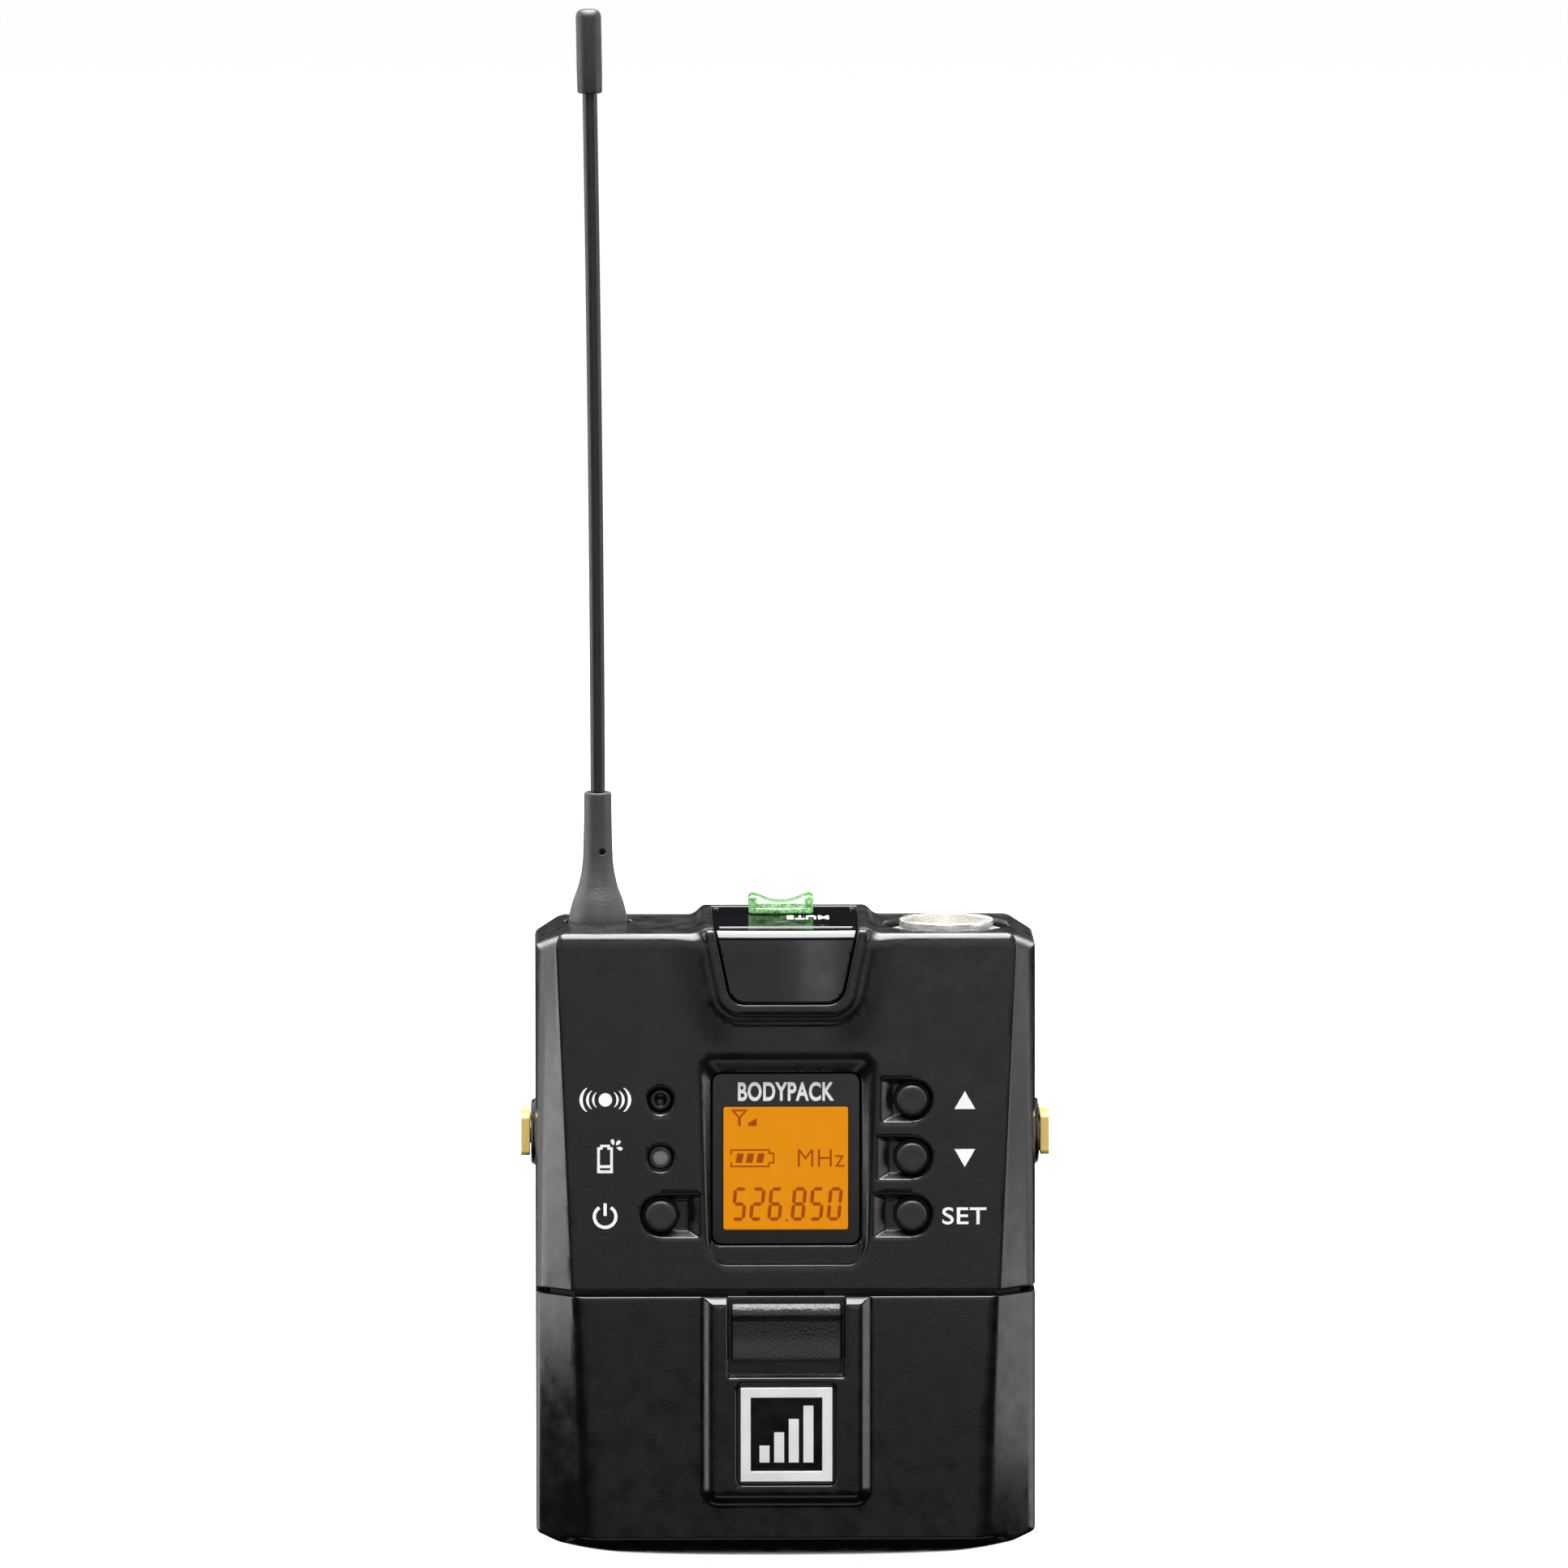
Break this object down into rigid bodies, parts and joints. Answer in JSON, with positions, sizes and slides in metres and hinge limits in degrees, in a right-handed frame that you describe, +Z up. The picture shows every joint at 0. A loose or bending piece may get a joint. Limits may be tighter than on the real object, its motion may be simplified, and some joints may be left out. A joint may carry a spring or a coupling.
{
  "type": "wireless bodypack transmitter",
  "caption": "Belt-worn radio pack with a whip antenna, locking socket, mute slider, lit display, push buttons, hinged battery door and sprung clip.",
  "frame": {"origin": "on the back face of the case, on its centre line, where the belt's upper edge bears under the clip's arms", "axes": "+X to the right of someone facing the display, +Y out of the back, +Z up along the antenna"},
  "size_m": [0.0688, 0.0289, 0.2018],
  "materials": {
    "case_plastic": "fine moulded grain",
    "door_plastic": "fine moulded grain",
    "latch_plastic": "coarse spark-eroded grain",
    "tray_plastic": "smooth matt",
    "button_plastic": "satin",
    "gloss_black": "polished",
    "lens_plastic": "polished, clear over the display",
    "lcd_glass": "lit amber",
    "light_guide": "smooth white",
    "lamp_lens": "frosted",
    "ir_plastic": "dark, smooth",
    "green_plastic": "translucent green",
    "boot_rubber": "matt, fine grain",
    "whip_jacket": "satin sleeve",
    "board_laminate": "solder resist",
    "flex_laminate": "polyimide film",
    "chip_plastic": "moulded",
    "cell_jacket": "printed sleeve",
    "screw_steel": "zinc plated",
    "plated_steel": "tin plated",
    "nickel": "satin nickel",
    "bright_chrome": "bright",
    "brass": "turned",
    "gold_plate": "gold plated",
    "passivated_steel": "yellow passivated"
  },
  "bodies": {
    "case": {"front_shell": "case_plastic", "rear_cover": "case_plastic", "case_screws": "screw_steel", "display_lens": "lens_plastic", "lcd_panel": "lcd_glass", "lcd_backlight": "light_guide", "lcd_holder": "light_guide", "tact_switches": "plated_steel", "led_lens": "lamp_lens", "status_led": "light_guide", "ir_window": "ir_plastic", "ir_receiver": "ir_plastic", "mute_insert": "gloss_black", "mute_switch": "plated_steel", "main_board": "board_laminate", "board_screws": "screw_steel", "rf_shield": "plated_steel", "board_chips": "chip_plastic", "antenna_ferrule": "brass", "antenna_feed": "brass", "antenna_boot": "boot_rubber", "mic_barrel": "nickel", "mic_nut": "nickel", "mic_insulator": "gloss_black", "mic_pins": "gold_plate", "mic_flex": "flex_laminate", "battery_tray": "tray_plastic", "upper_cell": "cell_jacket", "lower_cell": "cell_jacket", "cell_springs": "plated_steel", "series_plate": "plated_steel", "contact_plates": "plated_steel", "door_pins": "screw_steel"},
    "antenna": {"antenna_whip": "whip_jacket", "antenna_cap": "boot_rubber"},
    "door": {"battery_door": "door_plastic", "badge_frame": "bright_chrome", "badge_plate": "gloss_black", "badge_bars": "bright_chrome", "latch_spring": "plated_steel"},
    "latch": {"door_latch": "latch_plastic"},
    "clip": {"belt_clip": "passivated_steel", "clip_studs": "passivated_steel"},
    "power_key": {"power_button": "button_plastic"},
    "up_key": {"up_button": "button_plastic"},
    "down_key": {"down_button": "button_plastic"},
    "set_key": {"set_button": "button_plastic"},
    "mute_knob": {"mute_slider": "green_plastic"}
  },
  "joints": [
    {"name": "antenna_flex", "type": "hinge", "parent": "case", "child": "antenna", "pos_m": [-0.0243, -0.0076, 0.0467], "axis": [0, 1, 0], "range_deg": [-20, 20], "stiffness_Nm_per_rad": 0.06},
    {"name": "door_hinge", "type": "hinge", "parent": "case", "child": "door", "pos_m": [0, -0.0036, -0.04865], "axis": [1, 0, 0], "range_deg": [0, 95]},
    {"name": "latch_slide", "type": "slide", "parent": "door", "child": "latch", "axis": [0, 0, -1], "range_m": [0, 0.0014], "stiffness_N_per_m": 300, "deforming": ["latch_spring"]},
    {"name": "clip_hinge", "type": "hinge", "parent": "case", "child": "clip", "pos_m": [0, -0.0094, 0.0032], "axis": [1, 0, 0], "range_deg": [0, 20], "stiffness_Nm_per_rad": 0.4},
    {"name": "power_press", "type": "slide", "parent": "case", "child": "power_key", "axis": [0, 1, 0], "range_m": [0, 0.00045], "stiffness_N_per_m": 400},
    {"name": "up_press", "type": "slide", "parent": "case", "child": "up_key", "axis": [0, 1, 0], "range_m": [0, 0.00045], "stiffness_N_per_m": 400},
    {"name": "down_press", "type": "slide", "parent": "case", "child": "down_key", "axis": [0, 1, 0], "range_m": [0, 0.00045], "stiffness_N_per_m": 400},
    {"name": "set_press", "type": "slide", "parent": "case", "child": "set_key", "axis": [0, 1, 0], "range_m": [0, 0.00045], "stiffness_N_per_m": 400},
    {"name": "mute_slide", "type": "slide", "parent": "case", "child": "mute_knob", "axis": [1, 0, 0], "range_m": [0, 0.002]}
  ]
}
